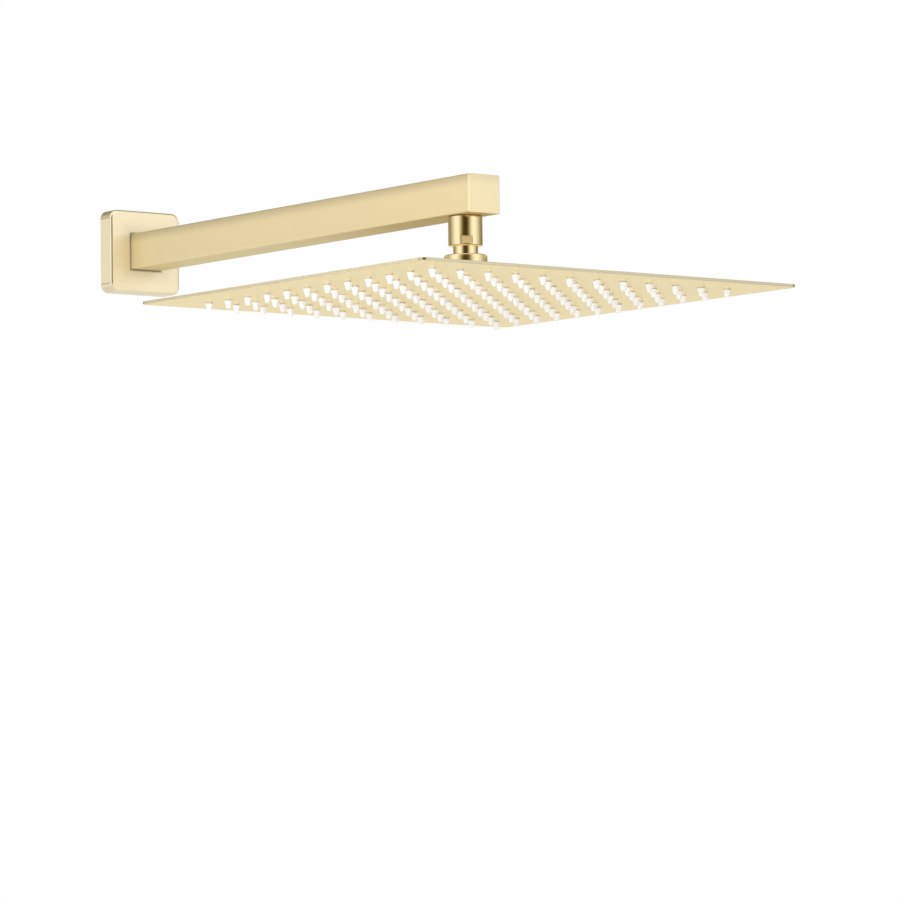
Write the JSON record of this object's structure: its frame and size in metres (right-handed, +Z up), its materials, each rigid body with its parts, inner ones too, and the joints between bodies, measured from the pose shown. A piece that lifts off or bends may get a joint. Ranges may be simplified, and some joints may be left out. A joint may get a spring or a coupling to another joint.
{
  "type": "wall-mounted rain shower head",
  "caption": "Wall-mounted square rain shower: straight square arm with a sliding flange and a thin square spray head on a ball joint.",
  "frame": {"origin": "centre of the arm's wall thread at the wall plane, where the flange's foam meets the wall", "axes": "+Z up, +Y into the wall, so the arm runs out along -Y; +X to the right as seen from the room facing the wall"},
  "size_m": [0.3, 0.5446, 0.0985],
  "materials": {
    "brushed_gold_steel": "fine brushed champagne gold coating",
    "satin_gold_cover": "satin champagne gold coating",
    "polished_gold_brass": "polished gold plating",
    "raw_brass": "machined",
    "white_silicone": "soft translucent white",
    "black_rubber": "matt",
    "grey_foam": "closed-cell foam",
    "white_nylon": "machined nylon",
    "sieve_steel": "etched stainless mesh",
    "green_plastic": "moulded"
  },
  "bodies": {
    "arm": {"arm_tube": "brushed_gold_steel", "arm_end_cap": "brushed_gold_steel", "wall_connector": "raw_brass", "outlet_nipple": "raw_brass"},
    "flange": {"wall_flange": "satin_gold_cover", "flange_grip_ring": "black_rubber", "flange_foam_gasket": "grey_foam"},
    "ball_stud": {"ball_stud": "polished_gold_brass", "stud_washer": "black_rubber", "filter_screen": "sieve_steel", "flow_restrictor": "green_plastic"},
    "ball_seats": {"upper_bearing_ring": "white_nylon", "ball_seat": "white_nylon", "ball_seal": "black_rubber"},
    "head": {"retaining_nut": "polished_gold_brass", "hub": "polished_gold_brass", "top_plate": "brushed_gold_steel", "face_plate": "brushed_gold_steel", "rim_frame": "brushed_gold_steel", "spacer_studs": "sieve_steel", "nozzles": "white_silicone"}
  },
  "joints": [
    {"name": "flange_slide", "type": "slide", "parent": "arm", "child": "flange", "axis": [0, -1, 0], "range_m": [0, 0.3]},
    {"name": "stud_swivel", "type": "hinge", "parent": "arm", "child": "ball_stud", "pos_m": [0, -0.3796, -0.047], "axis": [0, 0, 1], "continuous": true},
    {"name": "head_tilt", "type": "hinge", "parent": "ball_stud", "child": "ball_seats", "pos_m": [0, -0.3796, -0.047], "axis": [1, 0, 0], "range_deg": [-12, 12]},
    {"name": "head_spin", "type": "hinge", "parent": "ball_seats", "child": "head", "pos_m": [0, -0.3796, -0.047], "axis": [0, 0, 1], "continuous": true}
  ]
}
